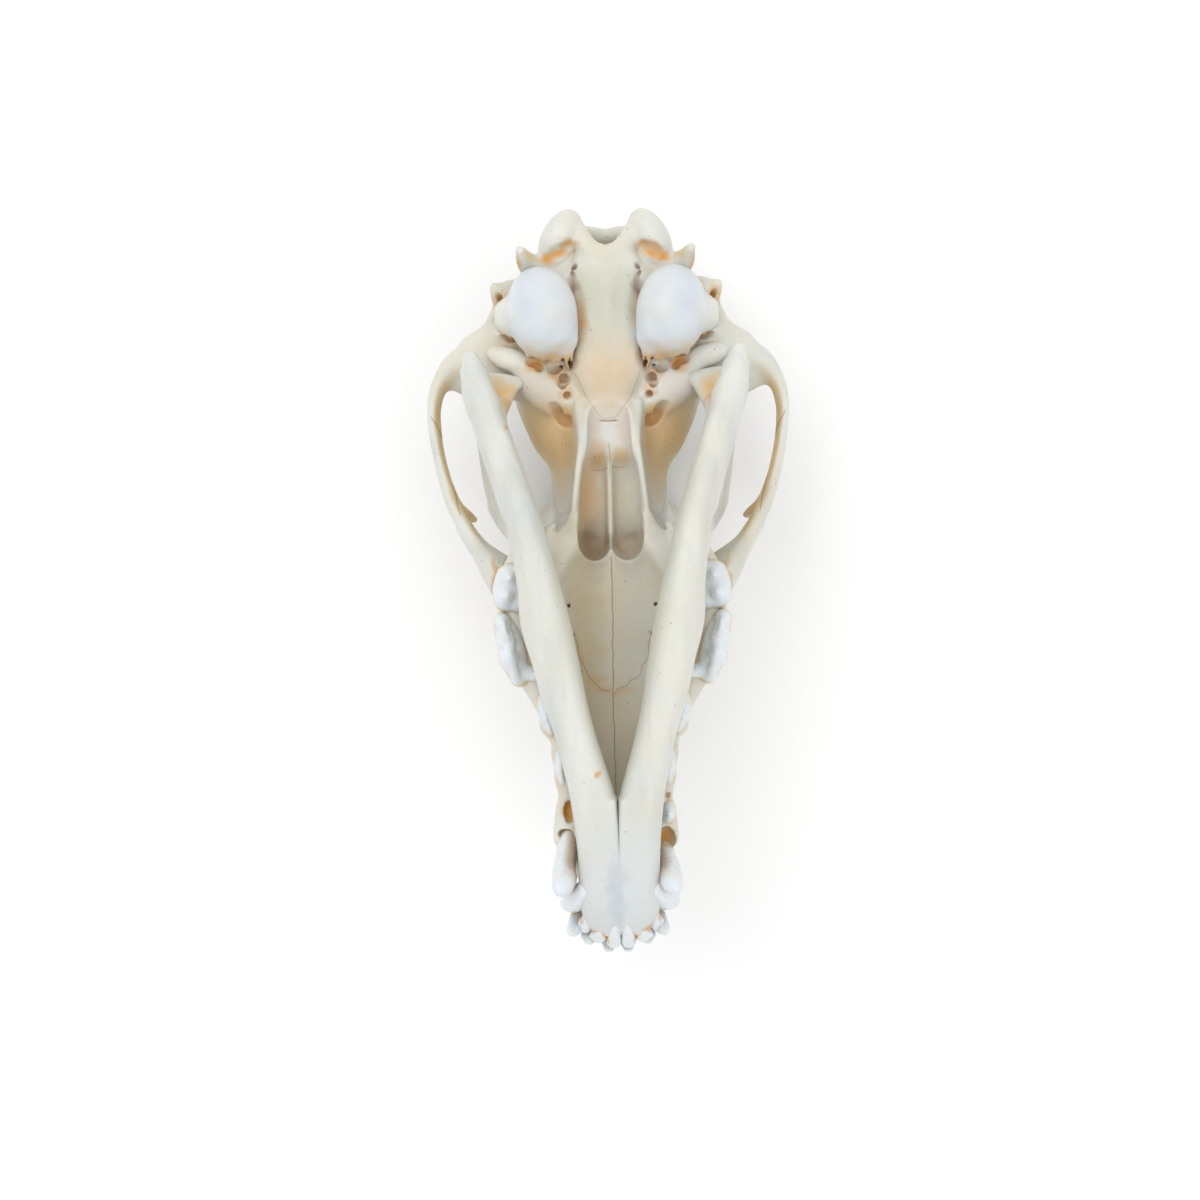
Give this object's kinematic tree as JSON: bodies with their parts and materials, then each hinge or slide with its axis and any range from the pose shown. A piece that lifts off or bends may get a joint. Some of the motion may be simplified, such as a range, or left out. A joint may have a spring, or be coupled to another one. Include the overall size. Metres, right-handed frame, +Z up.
{
  "type": "coyote skull",
  "caption": "Life-size coyote skull with its lower jaw closed, lying crown down so that the palate and the underside of the jaw face up. A small upper tooth is missing on the left.",
  "frame": {"origin": "on the surface the skull lies on, under the middle of its length and width", "axes": "+Z up from the crown of the head towards the palate, because the skull lies crown down; +Y along the skull towards the back of the head, the snout at -Y; +X towards the animal's right"},
  "size_m": [0.0978, 0.1954, 0.0836],
  "materials": {
    "bone": "dry, cleaned bone, creamy white with ochre stains in its recesses, satin",
    "pale_bone": "thin smooth bone of the ear capsules, and the enamel of the teeth where it is asked for by slot: bluish white, satin",
    "jaw_bone": "dense dry bone, creamy white with faint grey streaks, satin"
  },
  "bodies": {
    "root": {"cranium": "bone", "occipital_bone": "bone", "frontal_bones": "bone", "nasal_bones": "bone", "maxilla": "bone", "premaxilla": "bone", "zygomatic_arch_left": "bone", "zygomatic_arch_right": "bone", "auditory_bulla_left": "pale_bone", "auditory_bulla_right": "pale_bone", "mandible_left": "jaw_bone", "mandible_right": "jaw_bone"}
  },
  "joints": []
}
